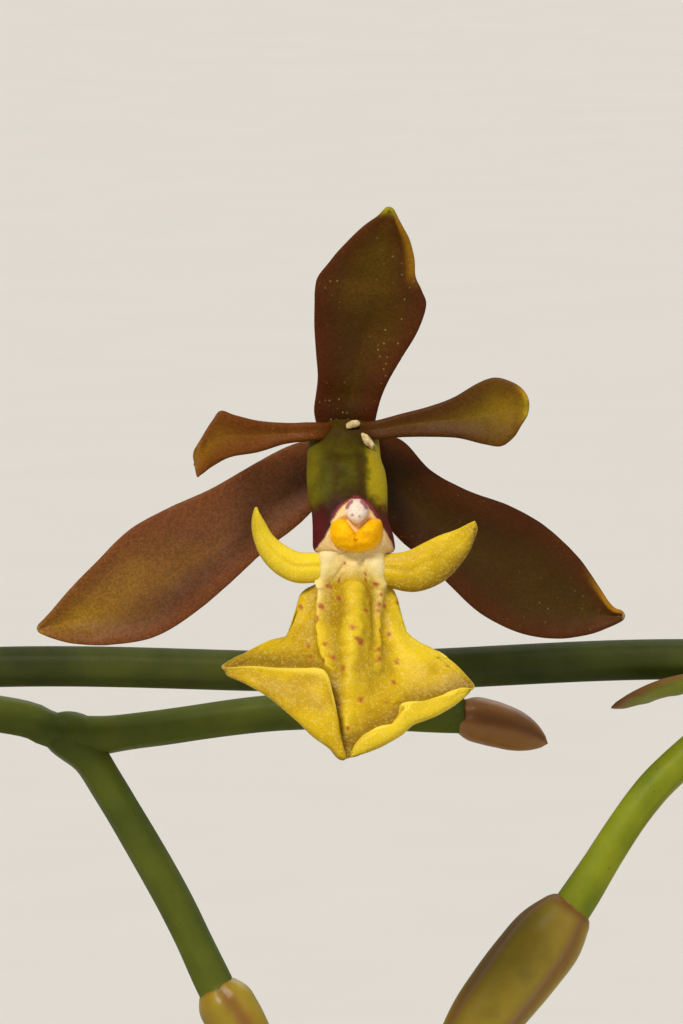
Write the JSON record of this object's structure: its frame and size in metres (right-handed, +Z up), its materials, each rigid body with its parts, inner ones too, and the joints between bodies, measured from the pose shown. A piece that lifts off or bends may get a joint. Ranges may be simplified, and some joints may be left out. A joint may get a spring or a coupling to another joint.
{
  "type": "potted orchid",
  "caption": "Clay pot of bark chips with clustered pseudobulbs, strap leaves and an arching flower stem of small brown and yellow blooms and buds.",
  "frame": {"origin": "centre of the pot's foot, on the surface that it stands on", "axes": "+Z up, -Y the side that the main bloom faces, +X the way the flower stem runs"},
  "size_m": [0.2044, 0.1682, 0.2673],
  "materials": {
    "clay": "matte fired clay",
    "bark": "rough dry bark",
    "rhizome": "matte, with silvery roots",
    "pseudobulb": "satin, waxy",
    "leaf": "satin, leathery",
    "stem": "satin",
    "bud": "satin",
    "tepal": "satin, finely grained",
    "column": "satin",
    "anther": "satin",
    "lip": "satin, glistening"
  },
  "bodies": {
    "root": {"pot": "clay", "bark_mix": "bark", "rhizome_with_roots": "rhizome", "pseudobulb_1": "pseudobulb", "pseudobulb_2": "pseudobulb", "pseudobulb_3": "pseudobulb", "pseudobulb_4": "pseudobulb", "pseudobulb_5": "pseudobulb", "pseudobulb_6": "pseudobulb", "leaf_1": "leaf", "leaf_2": "leaf", "leaf_3": "leaf", "leaf_4": "leaf", "leaf_5": "leaf", "leaf_6": "leaf", "leaf_7": "leaf", "leaf_8": "leaf", "leaf_9": "leaf", "leaf_10": "leaf", "flower_stem": "stem", "bud_1": "bud", "bud_2": "bud", "bud_3": "bud", "bud_4": "bud", "bud_5": "bud", "bud_6": "bud", "bud_7": "bud", "bud_8": "bud", "bloom_1_dorsal_sepal": "tepal", "bloom_1_left_sepal": "tepal", "bloom_1_right_sepal": "tepal", "bloom_1_left_petal": "tepal", "bloom_1_right_petal": "tepal", "bloom_1_column": "column", "bloom_1_anther_cap": "anther", "bloom_1_lip": "lip", "bloom_2_tepals": "tepal", "bloom_2_column": "column", "bloom_2_anther_cap": "anther", "bloom_2_lip": "lip", "bloom_3_tepals": "tepal", "bloom_3_column": "column", "bloom_3_anther_cap": "anther", "bloom_3_lip": "lip", "bloom_4_tepals": "tepal", "bloom_4_column": "column", "bloom_4_anther_cap": "anther", "bloom_4_lip": "lip"}
  },
  "joints": []
}
